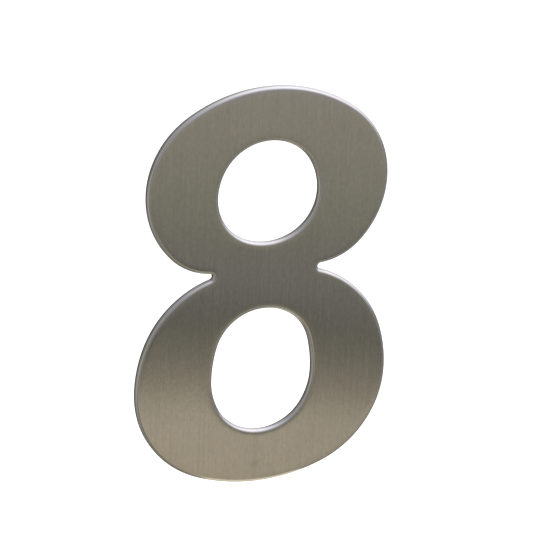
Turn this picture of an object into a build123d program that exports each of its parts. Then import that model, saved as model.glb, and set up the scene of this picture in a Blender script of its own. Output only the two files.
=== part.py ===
from build123d import *
import os

# A flat house number 8 in sheet metal, held to the wall by two studs on its back.
# All sizes are in millimetres. The figure stands upright in the XZ plane: +Z is up, the
# front face looks along -Y and the flat back lies in Y = 0, against the wall.
# The origin lies on the back, halfway between the two studs.

# Outline of the figure. Each bowl's height is measured to the level of the side notches.
UPPER_BOWL_WIDTH = 90.4
UPPER_BOWL_HEIGHT = 68.6
LOWER_BOWL_WIDTH = 95.6
LOWER_BOWL_HEIGHT = 81.4
WAIST_WIDTH = 39.8
NOTCH_RADIUS = 1.2

# Widths of the metal around the two counters
TOP_STROKE = 19.8
UPPER_SIDE_STROKE = 26.5
UPPER_BOWL_FLOOR = 11.1
LOWER_BOWL_ROOF = 14.0
LOWER_SIDE_STROKE = 28.8
FOOT_STROKE = 20.5

# Plate
PLATE_THICKNESS = 2.0
FRONT_EDGE_RADIUS = 1.2

# Weld studs
STUD_DIAMETER = 4.0
STUD_LENGTH = 15.0
STUD_FLANGE_RIM = 0.75
STUD_FLANGE_THICKNESS = 0.8
STUD_TIP_CHAMFER = 0.6

# Slopes of the flanks where the bowls run into the notches, in degrees from level
UPPER_FLANK_SLOPE = 5.0
LOWER_FLANK_SLOPE = 18.4

# Level of the widest point of each bowl and counter, as a share of the way up it
UPPER_BOWL_WIDEST = 0.465
LOWER_BOWL_WIDEST = 0.486
UPPER_COUNTER_WIDEST = 0.476
LOWER_COUNTER_WIDEST = 0.452

# Every quarter of an outline is two tangent arcs. Its lead is the tangent length of the
# first arc, going clockwise, as a share of the way to the quarter's corner.
CROWN_LEAD = 0.37
UPPER_FLANK_LEAD = 0.48
LOWER_FLANK_LEAD = 0.65
FOOT_LEAD = 0.65
UPPER_COUNTER_LEADS = (0.59, 0.69)
LOWER_COUNTER_LEADS = (0.73, 0.29)

# Levels, counted from the foot of the figure
NOTCH_LEVEL = LOWER_BOWL_HEIGHT
TOP_LEVEL = LOWER_BOWL_HEIGHT + UPPER_BOWL_HEIGHT
LOWER_STUD_LEVEL = FOOT_STROKE / 2
UPPER_STUD_LEVEL = TOP_LEVEL - TOP_STROKE / 2
ORIGIN_LEVEL = (LOWER_STUD_LEVEL + UPPER_STUD_LEVEL) / 2


def quarter(start, corner, end, lead):
    """Two tangent arcs from start to end. The end tangents of the pair meet in corner."""
    leave = (corner - start).normalized()
    arrive = (end - corner).normalized()
    first = (corner - start).length * lead
    rest = end - start - leave * first
    second = (rest.dot(rest) - first**2) / (2 * (rest.dot(arrive) + first))
    across = rest - arrive * second
    join = start + leave * first + across * (first / (first + second))
    TangentArc(start, join, tangent=leave)
    TangentArc(join, end, tangent=across)


def figure_outline():
    """Outer outline of the 8: its right half from the top to the foot, and the mirror image."""
    top = Vector(0, TOP_LEVEL)
    upper_side = Vector(UPPER_BOWL_WIDTH / 2, NOTCH_LEVEL + UPPER_BOWL_WIDEST * UPPER_BOWL_HEIGHT)
    lower_side = Vector(LOWER_BOWL_WIDTH / 2, LOWER_BOWL_WIDEST * LOWER_BOWL_HEIGHT)
    foot = Vector(0, 0)

    # The round end of the notch, and the directions in which the flanks leave it
    notch_end = Vector(WAIST_WIDTH / 2, NOTCH_LEVEL)
    notch_centre = notch_end + Vector(NOTCH_RADIUS, 0)
    up_flank = Vector(1, 0).rotate(Axis.Z, UPPER_FLANK_SLOPE)
    down_flank = Vector(1, 0).rotate(Axis.Z, -LOWER_FLANK_SLOPE)
    notch_top = notch_centre + up_flank.rotate(Axis.Z, 90) * NOTCH_RADIUS
    notch_foot = notch_centre + down_flank.rotate(Axis.Z, -90) * NOTCH_RADIUS

    # Corners where each flank's slope meets the upright through the bowl's widest point
    upper_corner = notch_top + up_flank * ((upper_side.X - notch_top.X) / up_flank.X)
    lower_corner = notch_foot + down_flank * ((lower_side.X - notch_foot.X) / down_flank.X)

    with BuildLine() as outline:
        quarter(top, Vector(upper_side.X, top.Y), upper_side, CROWN_LEAD)
        quarter(upper_side, upper_corner, notch_top, UPPER_FLANK_LEAD)
        ThreePointArc(notch_top, notch_end, notch_foot)
        quarter(notch_foot, lower_corner, lower_side, LOWER_FLANK_LEAD)
        quarter(lower_side, Vector(lower_side.X, foot.Y), foot, FOOT_LEAD)
        mirror(about=Plane.YZ)
    return outline.line


def counter_outline(top_level, foot_level, width, widest, leads):
    """Outline of a closed hole of the figure: an upright oval between two levels."""
    top = Vector(0, top_level)
    side = Vector(width / 2, foot_level + widest * (top_level - foot_level))
    foot = Vector(0, foot_level)
    with BuildLine() as outline:
        quarter(top, Vector(side.X, top.Y), side, leads[0])
        quarter(side, Vector(side.X, foot.Y), foot, leads[1])
        mirror(about=Plane.YZ)
    return outline.line


def number_plate():
    """The figure cut from flat sheet, with every edge of its front face rounded."""
    upper_counter = counter_outline(
        TOP_LEVEL - TOP_STROKE,
        NOTCH_LEVEL + UPPER_BOWL_FLOOR,
        UPPER_BOWL_WIDTH - 2 * UPPER_SIDE_STROKE,
        UPPER_COUNTER_WIDEST,
        UPPER_COUNTER_LEADS,
    )
    lower_counter = counter_outline(
        NOTCH_LEVEL - LOWER_BOWL_ROOF,
        FOOT_STROKE,
        LOWER_BOWL_WIDTH - 2 * LOWER_SIDE_STROKE,
        LOWER_COUNTER_WIDEST,
        LOWER_COUNTER_LEADS,
    )
    face_plane = Plane(origin=(0, 0, -ORIGIN_LEVEL), x_dir=(1, 0, 0), z_dir=(0, -1, 0))
    with BuildPart() as plate:
        with BuildSketch(face_plane):
            with BuildLine():
                add(figure_outline())
            make_face()
            for counter in (upper_counter, lower_counter):
                with BuildLine():
                    add(counter)
                make_face(mode=Mode.SUBTRACT)
        extrude(amount=PLATE_THICKNESS)
        front_face = plate.faces().sort_by(Axis.Y)[0]
        fillet(front_face.edges(), radius=min(FRONT_EDGE_RADIUS, 0.9 * PLATE_THICKNESS))
    return plate.part


def wall_stud(level):
    """Weld stud with its flange flat on the back: round shank, chamfered tip."""
    radius = STUD_DIAMETER / 2
    flange_radius = radius + STUD_FLANGE_RIM
    with BuildPart() as stud:
        with BuildSketch(Plane.XY):
            with BuildLine():
                Polyline(
                    (0, 0),
                    (flange_radius, 0),
                    (flange_radius, STUD_FLANGE_THICKNESS),
                    (radius, STUD_FLANGE_THICKNESS),
                    (radius, STUD_LENGTH - STUD_TIP_CHAMFER),
                    (radius - STUD_TIP_CHAMFER, STUD_LENGTH),
                    (0, STUD_LENGTH),
                    close=True,
                )
            make_face()
        revolve(axis=Axis.Y)
    return Pos(0, 0, level - ORIGIN_LEVEL) * stud.part


PIECES = {
    "number_plate": number_plate(),
    "upper_stud": wall_stud(UPPER_STUD_LEVEL),
    "lower_stud": wall_stud(LOWER_STUD_LEVEL),
}

os.makedirs("parts", exist_ok=True)
for name, solid in PIECES.items():
    export_step(solid, f"parts/{name}.step")
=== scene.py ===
import math

import bpy
from mathutils import Matrix, Vector


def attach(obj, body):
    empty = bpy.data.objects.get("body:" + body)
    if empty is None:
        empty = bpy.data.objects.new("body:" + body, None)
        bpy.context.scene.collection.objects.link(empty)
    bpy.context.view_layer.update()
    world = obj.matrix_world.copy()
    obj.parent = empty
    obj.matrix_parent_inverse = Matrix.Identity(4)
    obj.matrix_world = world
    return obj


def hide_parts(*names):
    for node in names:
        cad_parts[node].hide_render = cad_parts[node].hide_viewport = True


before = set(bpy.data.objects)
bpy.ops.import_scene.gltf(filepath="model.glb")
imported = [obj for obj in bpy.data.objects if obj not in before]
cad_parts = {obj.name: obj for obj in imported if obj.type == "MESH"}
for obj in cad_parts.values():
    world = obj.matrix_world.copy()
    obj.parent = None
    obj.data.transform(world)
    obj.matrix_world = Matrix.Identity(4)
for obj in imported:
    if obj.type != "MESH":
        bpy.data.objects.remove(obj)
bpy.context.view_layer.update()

# A flat house number 8 in brushed stainless steel, with two threaded studs on its back.
# Lengths are written in millimetres and turned into metres with MM. +Z is up, the front face
# looks along -Y and the flat back lies in Y = 0. The part's source gives the same sizes.
MM = 0.001
MM_PER_METRE = 1000.0

# Outline of the figure. Each bowl's height is measured to the level of the side notches.
UPPER_BOWL_WIDTH = 90.4
UPPER_BOWL_HEIGHT = 68.6
LOWER_BOWL_WIDTH = 95.6
LOWER_BOWL_HEIGHT = 81.4
WAIST_WIDTH = 39.8
NOTCH_RADIUS = 1.2

# Widths of the metal around the two counters
TOP_STROKE = 19.8
UPPER_SIDE_STROKE = 26.5
UPPER_BOWL_FLOOR = 11.1
LOWER_BOWL_ROOF = 14.0
LOWER_SIDE_STROKE = 28.8
FOOT_STROKE = 20.5

# Plate
PLATE_THICKNESS = 2.0
FRONT_EDGE_RADIUS = 1.2
FRONT_EDGE_ROWS = 9
BACK_EDGE_BREAK = 0.12
BACK_EDGE_ROWS = 2

# Inside the rounded edge the polished face rolls off a little before it is truly flat
ROLL_OFF_WIDTH = 2.4
ROLL_OFF_SLOPE = 0.036
ROLL_OFF_POWER = 3.0

# Slopes of the flanks where the bowls run into the notches, in degrees from level
UPPER_FLANK_SLOPE = 5.0
LOWER_FLANK_SLOPE = 18.4

# Level of the widest point of each bowl and counter, as a share of the way up it
UPPER_BOWL_WIDEST = 0.465
LOWER_BOWL_WIDEST = 0.486
UPPER_COUNTER_WIDEST = 0.476
LOWER_COUNTER_WIDEST = 0.452

# Tangent length of the first of the two arcs of each quarter of an outline, as a share
CROWN_LEAD = 0.37
UPPER_FLANK_LEAD = 0.48
LOWER_FLANK_LEAD = 0.65
FOOT_LEAD = 0.65
UPPER_COUNTER_LEADS = (0.59, 0.69)
LOWER_COUNTER_LEADS = (0.73, 0.29)

# Levels, counted from the foot of the figure
NOTCH_LEVEL = LOWER_BOWL_HEIGHT
TOP_LEVEL = LOWER_BOWL_HEIGHT + UPPER_BOWL_HEIGHT
LOWER_STUD_LEVEL = FOOT_STROKE / 2
UPPER_STUD_LEVEL = TOP_LEVEL - TOP_STROKE / 2
ORIGIN_LEVEL = (LOWER_STUD_LEVEL + UPPER_STUD_LEVEL) / 2

# Studs, with an M4 thread
STUD_RADIUS = 2.0
STUD_LENGTH = 15.0
STUD_TIP_CHAMFER = 0.6
FLANGE_RADIUS = 2.75
FLANGE_THICKNESS = 0.8
FLANGE_EDGE_BREAK = 0.12
BAR_SIDES = 64
THREAD_PITCH = 0.7
THREAD_ROOT_RADIUS = 1.62
THREAD_CREST_GAP = 0.02
THREAD_START = 1.7
THREAD_STEPS = 32
SPARE_TURNS = 4
RUN_OUT_LEAD = 0.2
RUN_OUT_CHAMFER = 0.45
NECK_OVERSIZE = 0.03
NECK_OVERLAP = 0.25

# How finely arcs are stepped, and the angles in degrees up to which faces are shaded as one
ARC_STEPS = 22
PLATE_CREASE = 50
STUD_CREASE = 28

# Distances in metres up to which points count as one, or as lying on a cut
SAME_POINT = 1e-6
SAME_SEAM_POINT = 1e-5
ON_CUT = 1e-7
ON_THREAD_CUT = 1e-8

# How far a face's normal lies along Y: on a flat side, on a wall, and where the two part
FLAT_SIDE = 0.9999
UPRIGHT_WALL = 0.02
HALF_TURNED = 0.5

SELECT_MODES = {"vertices": "VERT", "edges": "EDGE", "polygons": "FACE"}


def start_fresh():
    """Leave edit mode and deselect everything, the CAD nodes too."""
    if bpy.context.object and bpy.context.object.mode != "OBJECT":
        bpy.ops.object.mode_set(mode="OBJECT")
    bpy.ops.object.select_all(action="DESELECT")


def take(piece):
    start_fresh()
    piece.select_set(True)
    bpy.context.view_layer.objects.active = piece


def open_all(piece):
    """Take the piece into edit mode with all of it selected."""
    take(piece)
    bpy.ops.object.mode_set(mode="EDIT")
    bpy.ops.mesh.select_all(action="SELECT")


def close():
    bpy.ops.object.mode_set(mode="OBJECT")


def pick(piece, kind, wanted):
    """In edit mode, select just the vertices, edges or faces that wanted() says yes to."""
    bpy.ops.object.mode_set(mode="EDIT")
    bpy.ops.mesh.select_mode(type=SELECT_MODES[kind])
    bpy.ops.mesh.select_all(action="DESELECT")
    close()
    for item in getattr(piece.data, kind):
        item.select = bool(wanted(item))
    bpy.ops.object.mode_set(mode="EDIT")


def clean_shell(piece):
    """Merge doubles and turn every face outwards."""
    open_all(piece)
    bpy.ops.mesh.remove_doubles(threshold=SAME_POINT)
    bpy.ops.mesh.normals_make_consistent(inside=False)
    close()


def settle(piece):
    """Put the piece's place into its mesh."""
    take(piece)
    bpy.ops.object.transform_apply(location=True, rotation=True, scale=True)


def add_modifier(piece, name, kind, **settings):
    """Apply a modifier to the piece at once."""
    take(piece)
    modifier = piece.modifiers.new(name, kind)
    for key, value in settings.items():
        setattr(modifier, key, value)
    bpy.ops.object.modifier_apply(modifier=modifier.name)


def merge_into(piece, other, operation):
    """Join the other piece to this one, or keep only what both share."""
    add_modifier(piece, operation.lower(), "BOOLEAN", operation=operation, object=other,
                 solver="EXACT")
    bpy.data.objects.remove(other)


def quarter(start, corner, end, lead):
    """Two tangent arcs from start to end, each as its start, its end and their directions."""
    leave = (corner - start).normalized()
    arrive = (end - corner).normalized()
    first = (corner - start).length * lead
    rest = end - start - leave * first
    second = (rest.dot(rest) - first**2) / (2 * (rest.dot(arrive) + first))
    across = rest - arrive * second
    join = start + leave * first + across * (first / (first + second))
    across = across.normalized()
    return [(start, leave, join, across), (join, across, end, arrive)]


def with_left_half(right_half):
    """Add the mirror image of the right half, walked back up from the foot."""
    def mirrored(point):
        return Vector((-point.x, point.y))

    left_half = [
        (mirrored(end), -mirrored(arrive), mirrored(start), -mirrored(leave))
        for start, leave, end, arrive in reversed(right_half)
    ]
    return right_half + left_half


def turned(direction, degrees):
    return Matrix.Rotation(math.radians(degrees), 2) @ direction


def figure_outline():
    """Outer outline of the 8, clockwise from the top."""
    top = Vector((0, TOP_LEVEL))
    upper_widest = NOTCH_LEVEL + UPPER_BOWL_WIDEST * UPPER_BOWL_HEIGHT
    upper_side = Vector((UPPER_BOWL_WIDTH / 2, upper_widest))
    lower_side = Vector((LOWER_BOWL_WIDTH / 2, LOWER_BOWL_WIDEST * LOWER_BOWL_HEIGHT))
    foot = Vector((0, 0))

    # The round end of the notch, and the directions in which the flanks leave it
    notch_end = Vector((WAIST_WIDTH / 2, NOTCH_LEVEL))
    notch_centre = notch_end + Vector((NOTCH_RADIUS, 0))
    up_flank = turned(Vector((1, 0)), UPPER_FLANK_SLOPE)
    down_flank = turned(Vector((1, 0)), -LOWER_FLANK_SLOPE)
    notch_top = notch_centre + turned(up_flank, 90) * NOTCH_RADIUS
    notch_foot = notch_centre + turned(down_flank, -90) * NOTCH_RADIUS
    down = Vector((0, -1))

    # Corners where each flank's slope meets the upright through the bowl's widest point
    upper_corner = notch_top + up_flank * ((upper_side.x - notch_top.x) / up_flank.x)
    lower_corner = notch_foot + down_flank * ((lower_side.x - notch_foot.x) / down_flank.x)
    return with_left_half(
        quarter(top, Vector((upper_side.x, top.y)), upper_side, CROWN_LEAD)
        + quarter(upper_side, upper_corner, notch_top, UPPER_FLANK_LEAD)
        + [(notch_top, -up_flank, notch_end, down), (notch_end, down, notch_foot, down_flank)]
        + quarter(notch_foot, lower_corner, lower_side, LOWER_FLANK_LEAD)
        + quarter(lower_side, Vector((lower_side.x, 0)), foot, FOOT_LEAD)
    )


def counter_outline(top_level, foot_level, width, widest, leads):
    """Outline of a closed hole of the figure: an upright oval between two levels."""
    top = Vector((0, top_level))
    side = Vector((width / 2, foot_level + widest * (top_level - foot_level)))
    foot = Vector((0, foot_level))
    return with_left_half(
        quarter(top, Vector((side.x, top.y)), side, leads[0])
        + quarter(side, Vector((side.x, foot.y)), foot, leads[1])
    )


def draw_loop(curve, arcs):
    """Draw a closed loop of arcs, each as one Bezier segment."""
    def handle(arc):
        start, leave, end, arrive = arc
        turn = leave.angle(arrive)
        radius = (end - start).length / (2 * math.sin(turn / 2))
        return 4 / 3 * math.tan(turn / 4) * radius

    loop = curve.splines.new("BEZIER")
    loop.bezier_points.add(len(arcs) - 1)
    loop.use_cyclic_u = True
    loop.resolution_u = ARC_STEPS
    for number, (point, arc) in enumerate(zip(loop.bezier_points, arcs)):
        start, leave = arc[0], arc[1]
        point.handle_left_type = point.handle_right_type = "FREE"
        corner = start - Vector((0, ORIGIN_LEVEL))
        point.co = (corner * MM).to_3d()
        point.handle_right = ((corner + leave * handle(arc)) * MM).to_3d()
        point.handle_left = ((corner - leave * handle(arcs[number - 1])) * MM).to_3d()


def drawn_outlines():
    """The flat shape of the 8 with its two counters, drawn as one filled curve."""
    start_fresh()
    curve = bpy.data.curves.new("house_number_plate", "CURVE")
    curve.dimensions = "2D"
    curve.fill_mode = "BOTH"
    draw_loop(curve, figure_outline())
    draw_loop(curve, counter_outline(
        TOP_LEVEL - TOP_STROKE, NOTCH_LEVEL + UPPER_BOWL_FLOOR,
        UPPER_BOWL_WIDTH - 2 * UPPER_SIDE_STROKE, UPPER_COUNTER_WIDEST, UPPER_COUNTER_LEADS,
    ))
    draw_loop(curve, counter_outline(
        NOTCH_LEVEL - LOWER_BOWL_ROOF, FOOT_STROKE,
        LOWER_BOWL_WIDTH - 2 * LOWER_SIDE_STROKE, LOWER_COUNTER_WIDEST, LOWER_COUNTER_LEADS,
    ))
    plate = bpy.data.objects.new("house_number_plate", curve)
    bpy.context.scene.collection.objects.link(plate)
    return plate


def cut_figure_sheet():
    """The drawn shape as a mesh at the front, with one face on each side of its middle."""
    take(drawn_outlines())
    bpy.ops.object.convert(target="MESH")
    plate = bpy.context.object
    plate.rotation_euler = (math.pi / 2, 0, 0)
    plate.location = (0, -PLATE_THICKNESS * MM, 0)
    settle(plate)
    open_all(plate)
    bpy.ops.mesh.remove_doubles(threshold=SAME_POINT)
    bpy.ops.mesh.select_all(action="SELECT")
    bpy.ops.mesh.bisect(plane_co=(0, 0, 0), plane_no=(1, 0, 0), threshold=ON_CUT)
    bpy.ops.mesh.select_all(action="SELECT")
    bpy.ops.mesh.remove_doubles(threshold=SAME_SEAM_POINT)
    for side in (-1, 1):
        pick(plate, "polygons", lambda face: face.center.x * side > 0)
        bpy.ops.mesh.dissolve_faces(use_verts=False)
    close()

    # Only the ends of the three middle seams stay, which also carry an edge of the outline
    edges_at = [0] * len(plate.data.vertices)
    for edge in plate.data.edges:
        for end in edge.vertices:
            edges_at[end] += 1
    pick(plate, "vertices",
         lambda point: abs(point.co.x) < SAME_POINT and edges_at[point.index] == 2)
    bpy.ops.mesh.dissolve_verts()
    close()
    return plate


def round_rim(plate, level, width, rows):
    """Round off every edge between a flat side at this level and the walls."""
    edge_faces = {}
    for face in plate.data.polygons:
        for key in face.edge_keys:
            edge_faces.setdefault(key, []).append(abs(face.normal.y) > HALF_TURNED)
    points = plate.data.vertices

    def on_rim(edge):
        if any(abs(points[v].co.y - level * MM) > SAME_POINT for v in edge.vertices):
            return False
        return not all(edge_faces[edge.key])

    take(plate)
    pick(plate, "edges", on_rim)
    bpy.ops.mesh.bevel(offset=width * MM, offset_type="OFFSET", segments=rows, profile=0.5,
                       clamp_overlap=False, affect="EDGES")
    close()


def mark_roll_off(plate):
    """Lay a ring of faces inside the rounded edge. Its flatness grows from 0 to 1 inwards."""
    take(plate)
    pick(plate, "polygons", lambda face: face.normal.y < -FLAT_SIDE)
    bpy.ops.mesh.inset(thickness=ROLL_OFF_WIDTH * MM, depth=0, use_even_offset=True)
    close()
    flatness = plate.data.attributes.new("flatness", "FLOAT", "POINT")
    for face in plate.data.polygons:
        if face.select:
            for corner in face.vertices:
                flatness.data[corner].value = 1.0


def make_plate():
    """The figure in sheet metal, with its front edges rounded and its back edges broken."""
    plate = cut_figure_sheet()
    open_all(plate)
    bpy.ops.mesh.extrude_region_move(
        TRANSFORM_OT_translate={"value": (0, PLATE_THICKNESS * MM, 0)})
    close()
    clean_shell(plate)
    round_rim(plate, -PLATE_THICKNESS, FRONT_EDGE_RADIUS, FRONT_EDGE_ROWS)
    round_rim(plate, 0, BACK_EDGE_BREAK, BACK_EDGE_ROWS)
    clean_shell(plate)
    mark_roll_off(plate)
    take(plate)
    bpy.ops.object.shade_smooth_by_angle(angle=math.radians(PLATE_CREASE))
    add_modifier(plate, "flat sides stay flat", "WEIGHTED_NORMAL", mode="FACE_AREA",
                 weight=100, keep_sharp=True)
    return plate


# Side of the square that the brushing map covers, in metres
BRUSHING_MAP_SIZE = 0.2


def lay_brushing_map(plate):
    """Own UV map, square to the figure: U runs across the brushing and V along it."""
    uv = plate.data.uv_layers.new(name="brushing")
    for loop in plate.data.loops:
        place = plate.data.vertices[loop.vertex_index].co
        uv.data[loop.index].uv = (place.x / BRUSHING_MAP_SIZE + 0.5,
                                  place.z / BRUSHING_MAP_SIZE + 0.5)


def thread_profile():
    """One turn of the thread in section, as distances from the axis and along it."""
    half_crest = THREAD_PITCH / 16
    half_root = THREAD_PITCH / 8
    middle = THREAD_PITCH / 2
    crest = STUD_RADIUS - THREAD_CREST_GAP
    return [
        (THREAD_ROOT_RADIUS, 0),
        (THREAD_ROOT_RADIUS, half_root),
        (crest, middle - half_crest),
        (crest, middle + half_crest),
        (THREAD_ROOT_RADIUS, THREAD_PITCH - half_root),
        (THREAD_ROOT_RADIUS, THREAD_PITCH),
    ]


def make_thread():
    """A thread of full turns, longer than the stud needs, cut square at both ends."""
    start_fresh()
    profile = thread_profile()
    bpy.ops.mesh.primitive_plane_add(size=MM, location=(0, 0, 0))
    thread = bpy.context.object
    bpy.ops.object.mode_set(mode="EDIT")
    bpy.ops.mesh.select_mode(type="VERT")
    bpy.ops.mesh.select_all(action="SELECT")
    bpy.ops.mesh.merge(type="CENTER")
    first = Vector((profile[0][0], profile[0][1], 0)) * MM
    bpy.ops.transform.translate(value=first)
    for before, after in zip(profile, profile[1:]):
        step = Vector((after[0] - before[0], after[1] - before[1], 0)) * MM
        bpy.ops.mesh.extrude_region_move(TRANSFORM_OT_translate={"value": step})
    close()
    turns = math.ceil((STUD_LENGTH - THREAD_START) / THREAD_PITCH) + SPARE_TURNS
    add_modifier(thread, "winding", "SCREW", axis="Y", screw_offset=THREAD_PITCH * MM,
                 iterations=turns, steps=THREAD_STEPS, render_steps=THREAD_STEPS,
                 use_merge_vertices=False)

    # Two turns early, and a third of a step more, so that no cut runs through a corner
    early = SPARE_TURNS / 2 + 1 / (3 * THREAD_STEPS)
    thread.location.y = (THREAD_START - early * THREAD_PITCH) * MM
    settle(thread)
    clean_shell(thread)
    for level, outwards in ((THREAD_START, -1), (STUD_LENGTH, 1)):
        open_all(thread)
        bpy.ops.mesh.bisect(plane_co=(0, level * MM, 0), plane_no=(0, outwards, 0),
                            use_fill=True, clear_outer=True, threshold=ON_THREAD_CUT)
        close()
    clean_shell(thread)
    return thread


def turn_round(name, radius, low, high, low_chamfer=0.0, high_chamfer=0.0):
    """A round bar along Y from low to high, with its ends chamfered."""
    start_fresh()
    bpy.ops.mesh.primitive_cylinder_add(
        vertices=BAR_SIDES, radius=radius * MM, depth=(high - low) * MM,
        location=(0, (low + high) / 2 * MM, 0), rotation=(math.pi / 2, 0, 0))
    bar = bpy.context.object
    bar.name = name
    settle(bar)
    points = bar.data.vertices
    for level, chamfer in ((low, low_chamfer), (high, high_chamfer)):
        if chamfer:
            take(bar)
            pick(bar, "edges", lambda edge: all(
                abs(points[v].co.y - level * MM) < ON_CUT for v in edge.vertices))
            bpy.ops.mesh.bevel(offset=chamfer * MM, offset_type="OFFSET", segments=1,
                               clamp_overlap=False, affect="EDGES")
            close()
    return bar


def make_stud(name):
    """A weld stud on the origin: flange, short neck, and the thread with its run-out."""
    thread = make_thread()
    blank = turn_round("blank", STUD_RADIUS, THREAD_START - RUN_OUT_LEAD, STUD_LENGTH,
                       low_chamfer=RUN_OUT_CHAMFER, high_chamfer=STUD_TIP_CHAMFER)
    merge_into(thread, blank, "INTERSECT")
    stud = turn_round(name, FLANGE_RADIUS, 0, FLANGE_THICKNESS, high_chamfer=FLANGE_EDGE_BREAK)
    neck = turn_round("neck", THREAD_ROOT_RADIUS + NECK_OVERSIZE, FLANGE_THICKNESS / 2,
                      THREAD_START + NECK_OVERLAP)
    merge_into(stud, neck, "UNION")
    merge_into(stud, thread, "UNION")
    clean_shell(stud)
    take(stud)
    bpy.ops.object.shade_smooth_by_angle(angle=math.radians(STUD_CREASE))
    return stud


def place_stud(stud, level, turn):
    stud.rotation_euler = (0, math.radians(turn), 0)
    stud.location = (0, 0, (level - ORIGIN_LEVEL) * MM)
    settle(stud)


class Shelf:
    """A node tree with short ways to add and join nodes."""

    def __init__(self, tree):
        self.tree = tree

    def feed(self, socket, value):
        """Join another socket to this one, or set it to a plain value."""
        if isinstance(value, bpy.types.NodeSocket):
            self.tree.links.new(value, socket)
        else:
            socket.default_value = value

    def add(self, kind, inputs=None, **settings):
        node = self.tree.nodes.new(kind)
        for key, value in settings.items():
            setattr(node, key, value)
        for socket, value in (inputs or {}).items():
            self.feed(node.inputs[socket], value)
        return node

    def math(self, operation, *values, clamp=False):
        return self.add("ShaderNodeMath", dict(enumerate(values)), operation=operation,
                        use_clamp=clamp).outputs[0]

    def halved_up(self, value):
        """Turn -1 to 1 into 0 to 1."""
        return self.math("MULTIPLY_ADD", value, 0.5, 0.5)

    def build_up(self, amounts, *masks):
        """The first amount, and on it each of the others as far as its mask goes."""
        total, *shares = amounts
        for mask, share in zip(masks, shares):
            total = self.math("MULTIPLY_ADD", mask, share, total)
        return total

    def vector(self, operation, *values):
        return self.add("ShaderNodeVectorMath", dict(enumerate(values)),
                        operation=operation).outputs["Vector"]

    def measure(self, operation, *values):
        """The length, distance or dot product of vectors."""
        return self.add("ShaderNodeVectorMath", dict(enumerate(values)),
                        operation=operation).outputs["Value"]

    def smooth(self, value, low, high, to_low=0.0, to_high=1.0):
        return self.add("ShaderNodeMapRange", {
            "Value": value, "From Min": low, "From Max": high, "To Min": to_low, "To Max": to_high,
        }, interpolation_type="SMOOTHSTEP").outputs["Result"]

    def blend(self, factor, first, second, mode="MIX"):
        return self.add("ShaderNodeMix", {0: factor, 6: first, 7: second}, data_type="RGBA",
                        blend_type=mode).outputs[2]

    def cover(self, colour, mask, strength, tint):
        """Lay a tint over the colour, thinly, where the mask is."""
        return self.blend(self.math("MULTIPLY", mask, strength), colour, tint)

    def noise(self, vector, scale, detail, roughness):
        return self.add("ShaderNodeTexNoise", {
            "Vector": vector, "Scale": scale, "Detail": detail, "Roughness": roughness,
        }).outputs["Fac"]

    def stretched(self, vector, scale, location=(0, 0, 0)):
        return self.add("ShaderNodeMapping", {
            "Vector": vector, "Scale": scale, "Location": location,
        }).outputs["Vector"]

    def ramp(self, value, stops):
        node = self.add("ShaderNodeValToRGB", {"Fac": value})
        ramp = node.color_ramp
        ramp.interpolation = "LINEAR"
        for number, (position, colour) in enumerate(stops):
            stop = ramp.elements[number] if number < 2 else ramp.elements.new(position)
            stop.position = position
            stop.color = (*colour, 1)
        return node.outputs["Color"]

    def bump(self, height, distance, **normal):
        """Raise the surface by height, with its full height given in metres."""
        return self.add("ShaderNodeBump", {
            "Strength": 1.0, "Distance": distance, "Height": height, **normal,
        }).outputs[0]

    def surface(self, shader, kind="ShaderNodeOutputMaterial"):
        self.add(kind, {"Surface": shader.outputs[0]})


def new_group(name, inputs, outputs):
    """An empty node group, with its nodes and the sockets of its two ends."""
    group = bpy.data.node_groups.new(name, "ShaderNodeTree")
    for label, kind, value in inputs:
        socket = group.interface.new_socket(label, in_out="INPUT", socket_type=f"NodeSocket{kind}")
        if value is not None:
            socket.default_value = value
    for label, kind in outputs:
        group.interface.new_socket(label, in_out="OUTPUT", socket_type=f"NodeSocket{kind}")
    shelf = Shelf(group)
    return group, shelf, shelf.add("NodeGroupInput").outputs, shelf.add("NodeGroupOutput").inputs


def use_group(shelf, group, **inputs):
    """Place a group in a material, with spaces for the underscores of its sockets' names."""
    inputs = {label.replace("_", " "): value for label, value in inputs.items()}
    return shelf.add("ShaderNodeGroup", inputs, node_tree=group).outputs


def bare_material(name):
    material = bpy.data.materials.new(name)
    material.use_nodes = True
    material.node_tree.nodes.clear()
    return material, Shelf(material.node_tree)


def new_metal(name):
    """A bare metal, with its nodes, its shader and the place of each point on the object."""
    material, shelf = bare_material(name)
    metal = shelf.add("ShaderNodeBsdfPrincipled", {"Metallic": 1.0})
    shelf.surface(metal)
    return material, shelf, metal, shelf.add("ShaderNodeTexCoord").outputs["Object"]


def finish_metal(shelf, metal, colour, roughness, normal):
    shelf.feed(metal.inputs["Base Color"], colour)
    shelf.feed(metal.inputs["Roughness"], roughness)
    shelf.feed(metal.inputs["Normal"], normal)


# Share of the long streaks in the height of the brushing, and of both kinds in its tone
STREAK_HEIGHT = 0.5
STREAK_TONE = 0.4
SCRATCH_TONE = 0.6

# Noise of the fine marks: how many to a unit, their detail and their roughness
BRUSHING_LINES = (1.0, 3.0, 0.6)
EDGE_NICKS = (2600.0, 4.0, 0.7)
WALL_MARKS = (5200.0, 3.0, 0.6)
STUD_NICKS = (3500.0, 3.0, 0.6)
WALL_MARK_SQUEEZE = (1, 0.12, 1)

# Detail and roughness of the handling patches, and the noise between which they fade in
PATCH_CLOUDS = (4.0, 0.55)
PATCH_FADE = (0.3, 0.7)


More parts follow.
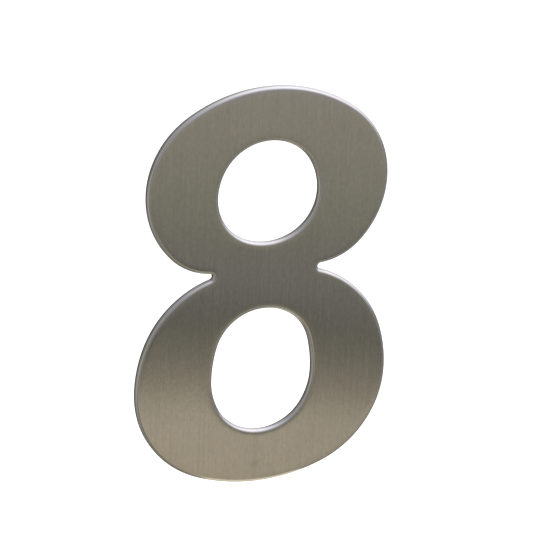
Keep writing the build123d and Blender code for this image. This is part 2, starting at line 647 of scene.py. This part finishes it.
def brushing_group():
    """Scratches along Z, short ones over long streaks. Puts out their height and their tone."""
    group, shelf, given, result = new_group(
        "brushing",
        [("Place", "Vector", None), ("Lines per mm", "Float", 2.0),
         ("Scratch ratio", "Float", 4.0), ("Streak ratio", "Float", 60.0)],
        [("Height", "Float"), ("Tone", "Float")],
    )
    across = shelf.math("MULTIPLY", given["Lines per mm"], MM_PER_METRE)

    def lines(ratio):
        along = shelf.math("DIVIDE", across, given[ratio])
        stretch = shelf.add("ShaderNodeCombineXYZ", {"X": across, "Y": across, "Z": along})
        place = shelf.vector("MULTIPLY", given["Place"], stretch.outputs[0])
        return shelf.noise(place, *BRUSHING_LINES)

    scratches = lines("Scratch ratio")
    streaks = lines("Streak ratio")
    height = shelf.math("ADD", scratches, shelf.math("MULTIPLY", streaks, STREAK_HEIGHT))
    tone = shelf.math("MULTIPLY_ADD", streaks, STREAK_TONE,
                      shelf.math("MULTIPLY", scratches, SCRATCH_TONE))
    shelf.feed(result["Height"], height)
    shelf.feed(result["Tone"], tone)
    return group


def patch_group():
    """Soft cloudy patches, as on any sheet that has been handled."""
    group, shelf, given, result = new_group(
        "handling_patches",
        [("Place", "Vector", None), ("Size mm", "Float", 14.0)],
        [("Patches", "Float")],
    )
    scale = shelf.math("DIVIDE", MM_PER_METRE, given["Size mm"])
    clouds = shelf.noise(given["Place"], scale, *PATCH_CLOUDS)
    shelf.feed(result["Patches"], shelf.smooth(clouds, *PATCH_FADE))
    return group


# Colours of the metal: the dark and light ends of its tone
FACE_DARK, FACE_LIGHT = (0.335, 0.318, 0.277, 1), (0.595, 0.571, 0.502, 1)
FACE_COOLER, FACE_WARMER = (0.97, 0.985, 1.0, 1), (1.035, 1.015, 1.0, 1)
EDGE_DARK, EDGE_LIGHT = (0.505, 0.50, 0.49, 1), (0.54, 0.535, 0.525, 1)
# The walls' tone is darker partly as a duller cut and partly as painted shade, standing for shadow
# that they reflect
SHADED_WALL_DARK, SHADED_WALL_LIGHT = (0.19, 0.185, 0.175, 1), (0.28, 0.27, 0.26, 1)
BACK_DARK, BACK_LIGHT = (0.50, 0.49, 0.465, 1), (0.58, 0.57, 0.545, 1)
STUD_DARK, STUD_LIGHT = (0.56, 0.56, 0.55, 1), (0.63, 0.63, 0.62, 1)

# What covers it thinly: strength and colour
FACE_PATCHES = (0.10, (0.40, 0.37, 0.30, 1))
WALL_PATCHES = (0.3, (0.20, 0.19, 0.17, 1))
BACK_PATCHES = (0.2, (0.47, 0.455, 0.42, 1))
THREAD_SHADE = (0.55, (0.22, 0.20, 0.17, 1))

# Roughness of each finish: that of the metal, and what its marks, patches or depth add
FACE_ROUGHNESS = (0.145, 0.05, 0.015)
EDGE_ROUGHNESS = (0.14, 0.10)
WALL_ROUGHNESS = (0.24, 0.12)
BACK_ROUGHNESS = (0.32, 0.08, 0.05)
STUD_ROUGHNESS = (0.20, 0.12, 0.15)

# Full heights of the finest relief of each finish, in metres
BRUSHING_RELIEF = 0.00001
EDGE_RELIEF = 0.0000015
WALL_RELIEF = 0.000004
FINE_RELIEF = 0.000002

# A faint dark spot low on the foot and a streak above it, as where a weld shows through:
# place across and level, upright squeeze, outer and inner reach, strength and colour
FOOT_MARKS = [
    (-1.9, 7.3, 1.0, 2.8, 0.2, 0.20, (0.22, 0.20, 0.17, 1)),
    (-1.6, 12.0, 0.11, 1.7, 0.1, 0.11, (0.24, 0.22, 0.19, 1)),
]

# Heat tint round each weld on the back: outer and inner reach, strength and colour
HEAT_TINTS = [
    (5.2, 3.0, 0.55, (0.42, 0.31, 0.17, 1)),
    (4.2, 2.7, 0.50, (0.20, 0.22, 0.32, 1)),
]


def brushed_face(brushing, patches):
    """The front: upright brushing that stretches reflections across, in slightly mixed hues."""
    material, shelf, metal, place = new_metal("brushed_face")
    grain = use_group(shelf, brushing, Place=place, Lines_per_mm=1.7, Scratch_ratio=3.0,
                      Streak_ratio=70.0)
    cloudy = use_group(shelf, patches, Place=place, Size_mm=22.0)["Patches"]
    steel = shelf.blend(grain["Tone"], FACE_DARK, FACE_LIGHT)
    steel = shelf.cover(steel, cloudy, *FACE_PATCHES)
    hue = use_group(shelf, patches, Place=place, Size_mm=1.6)["Patches"]
    steel = shelf.blend(1.0, steel, shelf.blend(hue, FACE_COOLER, FACE_WARMER), "MULTIPLY")
    for across, level, squeeze, outer, inner, strength, colour in FOOT_MARKS:
        centre = (-across * MM, 0, (ORIGIN_LEVEL - level) * MM * squeeze)
        reach = shelf.measure("LENGTH", shelf.stretched(place, (1, 0, squeeze), centre))
        mark = shelf.smooth(reach, outer * MM, inner * MM, 0.0, strength)
        steel = shelf.blend(mark, steel, colour)

    metal.inputs["Anisotropic"].default_value = 1.0
    tangent = shelf.add("ShaderNodeTangent", direction_type="UV_MAP", uv_map="brushing")
    shelf.feed(metal.inputs["Tangent"], tangent.outputs[0])
    flatness = shelf.add("ShaderNodeAttribute", attribute_name="flatness").outputs["Fac"]
    fall = shelf.math("POWER", shelf.math("SUBTRACT", 1.0, flatness), ROLL_OFF_POWER)
    roll_off = shelf.bump(shelf.math("SUBTRACT", 1.0, fall),
                          ROLL_OFF_SLOPE * ROLL_OFF_WIDTH / ROLL_OFF_POWER * MM)
    relief = shelf.bump(grain["Height"], BRUSHING_RELIEF, Normal=roll_off)
    rough = shelf.build_up(FACE_ROUGHNESS, grain["Tone"], cloudy)
    finish_metal(shelf, metal, steel, rough, relief)
    return material


def rounded_edge(patches):
    material, shelf, metal, place = new_metal("rounded_edge")
    cloudy = use_group(shelf, patches, Place=place, Size_mm=6.0)["Patches"]
    nicks = shelf.noise(place, *EDGE_NICKS)
    finish_metal(shelf, metal, shelf.blend(cloudy, EDGE_DARK, EDGE_LIGHT),
                 shelf.build_up(EDGE_ROUGHNESS, nicks), shelf.bump(nicks, EDGE_RELIEF))
    return material


def shaded_cut_wall(patches):
    """The walls of the cut, with fine marks of the cutting beam through the sheet. They are darker
    partly as a duller cut and partly as painted shade.
    """
    material, shelf, metal, place = new_metal("shaded_cut_wall")
    cloudy = use_group(shelf, patches, Place=place, Size_mm=4.0)["Patches"]
    marks = shelf.noise(shelf.stretched(place, WALL_MARK_SQUEEZE), *WALL_MARKS)
    # Painted shade: the walls' tone is kept darker than a duller cut alone would make it
    steel = shelf.blend(marks, SHADED_WALL_DARK, SHADED_WALL_LIGHT)
    steel = shelf.cover(steel, cloudy, *WALL_PATCHES)
    finish_metal(shelf, metal, steel, shelf.build_up(WALL_ROUGHNESS, marks),
                 shelf.bump(marks, WALL_RELIEF))
    return material


def mill_back(brushing, patches):
    """The back as the mill left it, with heat tint round the two welds."""
    material, shelf, metal, place = new_metal("mill_back")
    grain = use_group(shelf, brushing, Place=place, Lines_per_mm=2.5, Scratch_ratio=8.0,
                      Streak_ratio=40.0)
    cloudy = use_group(shelf, patches, Place=place, Size_mm=30.0)["Patches"]
    steel = shelf.blend(grain["Tone"], BACK_DARK, BACK_LIGHT)
    steel = shelf.cover(steel, cloudy, *BACK_PATCHES)
    for level in (LOWER_STUD_LEVEL, UPPER_STUD_LEVEL):
        centre = (0, 0, (level - ORIGIN_LEVEL) * MM)
        reach = shelf.measure("DISTANCE", place, centre)
        for outer, inner, strength, colour in HEAT_TINTS:
            tint = shelf.smooth(reach, outer * MM, inner * MM, 0.0, strength)
            steel = shelf.blend(tint, steel, colour)
    rough = shelf.build_up(BACK_ROUGHNESS, grain["Tone"], cloudy)
    finish_metal(shelf, metal, steel, rough, shelf.bump(grain["Height"], FINE_RELIEF))
    return material


def stud_steel(patches, level, name):
    """Plain turned steel, darker and rougher down in the thread."""
    material, shelf, metal, place = new_metal(name)
    cloudy = use_group(shelf, patches, Place=place, Size_mm=2.5)["Patches"]
    centre = (0, 0, -(level - ORIGIN_LEVEL) * MM)
    reach = shelf.measure("LENGTH", shelf.stretched(place, (1, 0, 1), centre))
    depth = shelf.smooth(reach, STUD_RADIUS * MM, THREAD_ROOT_RADIUS * MM)
    steel = shelf.blend(cloudy, STUD_DARK, STUD_LIGHT)
    steel = shelf.cover(steel, depth, *THREAD_SHADE)
    nicks = shelf.noise(place, *STUD_NICKS)
    rough = shelf.build_up(STUD_ROUGHNESS, nicks, depth)
    finish_metal(shelf, metal, steel, rough, shelf.bump(nicks, FINE_RELIEF))
    return material


def finish_plate(plate, face, edge, back, wall):
    """Give each face of the plate its finish, by how far it looks to the front or back."""
    for material in (face, edge, back, wall):
        plate.data.materials.append(material)
    for polygon in plate.data.polygons:
        if polygon.normal.y < -FLAT_SIDE:
            polygon.material_index = 0
        elif polygon.normal.y > FLAT_SIDE:
            polygon.material_index = 2
        elif abs(polygon.normal.y) < UPRIGHT_WALL:
            polygon.material_index = 3
        else:
            polygon.material_index = 1


# The room. Its lengths are in metres, and its colours are the light that the metal sees.
ROOM_COLOUR = (0.95, 0.97, 1.0, 1)
ROOM_STRENGTH = 0.55
WHITE = (1, 1, 1, 1)
FLOOR_SIZE = 12
FLOOR_LEVEL = -0.62
FLOOR_PAPER = (0.86, 0.86, 0.86, 1)
FLOOR_GLOW = 0.45
TENT_RADIUS = 0.5
SKY_RADIUS = 4.0
SHELL_SEGMENTS = 64
SHELL_RINGS = 32
FOOT_CARD_PLACE = (0.007, -0.0165, -0.097)
FOOT_CARD_SIZE = (0.046, 0.043, 1)
FOOT_CARD_GLOW = (1.18, 1.05, 0.80, 1)

# Softboxes: name, place, size and power in watts
SOFTBOXES = [
    ("left_softbox", (-1.2, -0.9, 1.3), (1.2, 1.2), 60),
    ("right_softbox", (1.4, -0.6, 1.2), (1.2, 1.2), 40),
]

# What the tent shows straight ahead, from straight below (0) towards level (0.5). Its bands
# lean down to the right, and its opening takes over a little below level.
TENT_LEAN = 0.03
TENT_FRONT = [
    (0.0000, (0.31, 0.27, 0.185)),
    (0.1500, (0.33, 0.29, 0.205)),
    (0.2000, (0.66, 0.60, 0.49)),
    (0.2400, (0.75, 0.68, 0.57)),
    (0.2640, (0.75, 0.685, 0.59)),
    (0.2720, (0.50, 0.465, 0.395)),
    (0.2830, (0.34, 0.325, 0.28)),
    (0.3030, (0.20, 0.20, 0.18)),
    (0.3110, (0.21, 0.215, 0.21)),
    (0.3225, (0.295, 0.30, 0.295)),
    (0.3400, (0.31, 0.312, 0.29)),
    (0.3625, (0.385, 0.382, 0.345)),
    (0.4100, (0.49, 0.475, 0.43)),
    (0.4600, (0.53, 0.515, 0.50)),
]

# What the tent and the low part of the sky show all round, from the left (0) to the right (1)
ROOM_AROUND = [
    (0.00, (0.39, 0.365, 0.30)),
    (0.20, (0.33, 0.305, 0.25)),
    (0.33, (0.29, 0.27, 0.24)),
    (0.50, (0.33, 0.30, 0.26)),
    (0.75, (0.38, 0.36, 0.33)),
    (0.90, (0.33, 0.33, 0.325)),
    (1.00, (0.29, 0.30, 0.30)),
]

# What the sky shows above, from the side away from the soft key light (0) to the light (1)
KEY_LIGHT_WAY = (0.602, -0.201, 0.773)
SKY_ABOVE = [
    (0.000, (0.24, 0.23, 0.23)),
    (0.300, (0.27, 0.26, 0.25)),
    (0.500, (0.37, 0.36, 0.36)),
    (0.625, (0.47, 0.46, 0.49)),
    (0.700, (0.65, 0.64, 0.70)),
    (0.800, (0.89, 0.88, 0.96)),
    (0.875, (1.25, 1.24, 1.34)),
    (0.925, (1.62, 1.60, 1.72)),
    (1.000, (1.90, 1.88, 1.98)),
]

# Where each of these fades in, along one axis of the way to the shell
BEHIND_FADE = (0.35, 0.75)
BELOW_FADE = (-0.70, -0.92)
OPENING_FADE = (-0.20, -0.08)
ABOVE_FADE = (-0.12, 0.10)

# The same for what lies to one side, along Y and along X
STRAIGHT_AHEAD = ((-0.58, -0.80), (-0.28, 0.05))
TO_THE_LEFT = ((0.08, -0.50), (-0.40, -0.80))
BACK_RIGHT = ((0.60, 0.90), (0.0, 0.40))

BEHIND_COLOUR = (0.17, 0.165, 0.155, 1)
BELOW_COLOUR = (0.36, 0.315, 0.22, 1)
SKY_AHEAD_COLOUR = (0.53, 0.515, 0.55, 1)
LEFT_LIGHT = (0.27, 0.262, 0.238, 1)
BACK_RIGHT_LIGHT = (1.10, 1.09, 1.12, 1)


def white_to_the_eye(shelf):
    """1 where the camera, metal or glass looks, which see plain white, and otherwise 0."""
    rays = shelf.add("ShaderNodeLightPath").outputs
    seen = shelf.math("ADD", rays["Is Camera Ray"], rays["Is Glossy Ray"])
    return shelf.math("ADD", seen, rays["Is Transmission Ray"], clamp=True)


def light_world():
    world = bpy.data.worlds.new("studio_room")
    bpy.context.scene.world = world
    world.use_nodes = True
    world.node_tree.nodes.clear()
    shelf = Shelf(world.node_tree)
    soft = shelf.add("ShaderNodeBackground", {"Color": ROOM_COLOUR, "Strength": ROOM_STRENGTH})
    white = shelf.add("ShaderNodeBackground", {"Color": WHITE, "Strength": 1.0})
    mix = shelf.add("ShaderNodeMixShader", {
        0: white_to_the_eye(shelf), 1: soft.outputs[0], 2: white.outputs[0]})
    shelf.surface(mix, "ShaderNodeOutputWorld")


def lay_floor():
    start_fresh()
    bpy.ops.mesh.primitive_plane_add(size=FLOOR_SIZE, location=(0, 0, FLOOR_LEVEL))
    floor = bpy.context.object
    floor.name = "studio_floor"
    floor.visible_glossy = False
    material, shelf = bare_material("studio_floor")
    paper = shelf.add("ShaderNodeBsdfDiffuse", {"Color": FLOOR_PAPER})
    glow = shelf.add("ShaderNodeEmission", {
        "Color": WHITE, "Strength": shelf.math("MULTIPLY", white_to_the_eye(shelf), FLOOR_GLOW)})
    both = shelf.add("ShaderNodeAddShader", {0: paper.outputs[0], 1: glow.outputs[0]})
    shelf.surface(both)
    floor.data.materials.append(material)


def show_to_metal_only(piece, name):
    """Name a piece that only glossy rays meet, and give the nodes of its own glow."""
    piece.name = name
    for kind in ("camera", "diffuse", "transmission", "volume_scatter", "shadow"):
        setattr(piece, f"visible_{kind}", False)
    material, shelf = bare_material(name)
    material.cycles.emission_sampling = "NONE"
    piece.data.materials.append(material)
    return shelf


def new_tent(name, radius):
    """A sphere that only the metal sees. Gives its nodes and the way to each of its points."""
    start_fresh()
    bpy.ops.mesh.primitive_uv_sphere_add(
        segments=SHELL_SEGMENTS, ring_count=SHELL_RINGS, radius=radius)
    tent = bpy.context.object
    shelf = show_to_metal_only(tent, name)
    way = shelf.vector("NORMALIZE", shelf.add("ShaderNodeTexCoord").outputs["Object"])
    return shelf, way, shelf.add("ShaderNodeSeparateXYZ", {0: way}).outputs


def one_side(shelf, parts, fades):
    """1 on one side of a shell and 0 elsewhere, with soft borders along Y and X."""
    along, across = fades
    return shelf.math("MULTIPLY", shelf.smooth(parts["Y"], *along),
                      shelf.smooth(parts["X"], *across))


def all_round(shelf, parts):
    around = shelf.ramp(shelf.halved_up(parts["X"]), ROOM_AROUND)
    return shelf.blend(shelf.smooth(parts["Y"], *BEHIND_FADE), around, BEHIND_COLOUR)


def with_left_light(shelf, parts, colour):
    return shelf.blend(one_side(shelf, parts, TO_THE_LEFT), colour, LEFT_LIGHT, "ADD")


def pitch_tent():
    """A light tent round the object: grey in front and below, open above. Only metal sees it."""
    shelf, _, parts = new_tent("light_tent", TENT_RADIUS)
    tilted = shelf.math("MULTIPLY_ADD", parts["X"], TENT_LEAN, parts["Z"])
    front = shelf.ramp(shelf.halved_up(tilted), TENT_FRONT)
    around = shelf.blend(shelf.smooth(parts["Z"], *BELOW_FADE), all_round(shelf, parts),
                         BELOW_COLOUR)
    colour = shelf.blend(one_side(shelf, parts, STRAIGHT_AHEAD), around, front)
    colour = with_left_light(shelf, parts, colour)
    glow = shelf.add("ShaderNodeEmission", {"Color": colour, "Strength": 1.0})
    opening = shelf.add("ShaderNodeBsdfTransparent")
    shelf.surface(shelf.add("ShaderNodeMixShader", {
        0: shelf.smooth(parts["Z"], *OPENING_FADE), 1: glow.outputs[0], 2: opening.outputs[0]}))


def pitch_sky():
    """The far sky that is seen through the opening of the tent, with the soft key light in it."""
    shelf, way, parts = new_tent("studio_sky", SKY_RADIUS)
    below = shelf.blend(one_side(shelf, parts, STRAIGHT_AHEAD), all_round(shelf, parts),
                        SKY_AHEAD_COLOUR)
    to_key = shelf.measure("DOT_PRODUCT", way, KEY_LIGHT_WAY)
    above = shelf.ramp(shelf.halved_up(to_key), SKY_ABOVE)
    colour = shelf.blend(shelf.smooth(parts["Z"], *ABOVE_FADE), below, above)
    colour = with_left_light(shelf, parts, colour)
    colour = shelf.blend(one_side(shelf, parts, BACK_RIGHT), colour, BACK_RIGHT_LIGHT, "ADD")
    shelf.surface(shelf.add("ShaderNodeEmission", {"Color": colour, "Strength": 1.0}))


def lay_foot_card():
    """A small warm card below the figure. It lights up the rounded edge of the foot."""
    start_fresh()
    bpy.ops.mesh.primitive_plane_add(size=1, location=FOOT_CARD_PLACE)
    card = bpy.context.object
    card.scale = FOOT_CARD_SIZE
    settle(card)
    shelf = show_to_metal_only(card, "foot_card")
    shelf.surface(shelf.add("ShaderNodeEmission", {"Color": FOOT_CARD_GLOW, "Strength": 1.0}))


def hang_softbox(name, place, size, watts):
    """A flat lamp turned to the origin. Neither the camera nor the metal sees it."""
    light = bpy.data.lights.new(name, "AREA")
    light.shape = "RECTANGLE"
    light.size, light.size_y = size
    light.energy = watts
    lamp = bpy.data.objects.new(name, light)
    lamp.location = place
    lamp.rotation_euler = (-Vector(place)).to_track_quat("-Z", "Y").to_euler()
    lamp.visible_camera = False
    lamp.visible_glossy = False
    bpy.context.scene.collection.objects.link(lamp)


# The camera: its turns in degrees, and its distance and shifts from the middle of the front
CAMERA_YAW = 22.045
CAMERA_PITCH = 21.332
CAMERA_ROLL = 2.302
CAMERA_DISTANCE = 1096.50
CAMERA_RIGHT = 3.3217
CAMERA_UP = 4.9987
CAMERA_LENS = 202.909
CAMERA_SENSOR = 36
CAMERA_NEAR, CAMERA_FAR = 0.01, 50


def set_camera():
    """A long lens from the front left and above, as the photograph was taken."""
    yaw, pitch, roll = (math.radians(a) for a in (CAMERA_YAW, CAMERA_PITCH, CAMERA_ROLL))
    back = Vector((-math.sin(yaw) * math.cos(pitch), -math.cos(yaw) * math.cos(pitch),
                   math.sin(pitch)))
    right = Vector((math.cos(yaw), -math.sin(yaw), 0))
    up = Vector((math.sin(yaw) * math.sin(pitch), math.cos(yaw) * math.sin(pitch),
                 math.cos(pitch)))
    right, up = (math.cos(roll) * right + math.sin(roll) * up,
                 math.cos(roll) * up - math.sin(roll) * right)
    middle = Vector((0, -PLATE_THICKNESS, TOP_LEVEL / 2 - ORIGIN_LEVEL)) * MM
    place = middle + (back * CAMERA_DISTANCE + right * CAMERA_RIGHT + up * CAMERA_UP) * MM
    data = bpy.data.cameras.new("photo_view")
    data.sensor_width = CAMERA_SENSOR
    data.lens = CAMERA_LENS
    data.clip_start = CAMERA_NEAR
    data.clip_end = CAMERA_FAR
    camera = bpy.data.objects.new("photo_view", data)
    turn = Matrix((right, up, back)).transposed()
    camera.matrix_world = Matrix.Translation(place) @ turn.to_4x4()
    bpy.context.scene.collection.objects.link(camera)
    bpy.context.scene.camera = camera


brushing = brushing_group()
patches = patch_group()

plate = make_plate()
lay_brushing_map(plate)
finish_plate(plate, brushed_face(brushing, patches), rounded_edge(patches),
             mill_back(brushing, patches), shaded_cut_wall(patches))
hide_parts("number_plate")
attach(plate, "root")

# The second stud is a copy of the first, with its thread turned to another start
lower_stud = make_stud("lower_wall_stud")
upper_stud = lower_stud.copy()
upper_stud.data = lower_stud.data.copy()
upper_stud.name = "upper_wall_stud"
bpy.context.scene.collection.objects.link(upper_stud)
for stud, level, turn, node in (
    (lower_stud, LOWER_STUD_LEVEL, 25, "lower_stud"),
    (upper_stud, UPPER_STUD_LEVEL, 140, "upper_stud"),
):
    place_stud(stud, level, turn)
    stud.data.materials.clear()
    stud.data.materials.append(stud_steel(patches, level, node + "_steel"))
    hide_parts(node)
    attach(stud, "root")

light_world()
lay_floor()
pitch_sky()
pitch_tent()
lay_foot_card()
for softbox in SOFTBOXES:
    hang_softbox(*softbox)
set_camera()
bpy.context.scene.view_settings.view_transform = "Standard"

start_fresh()
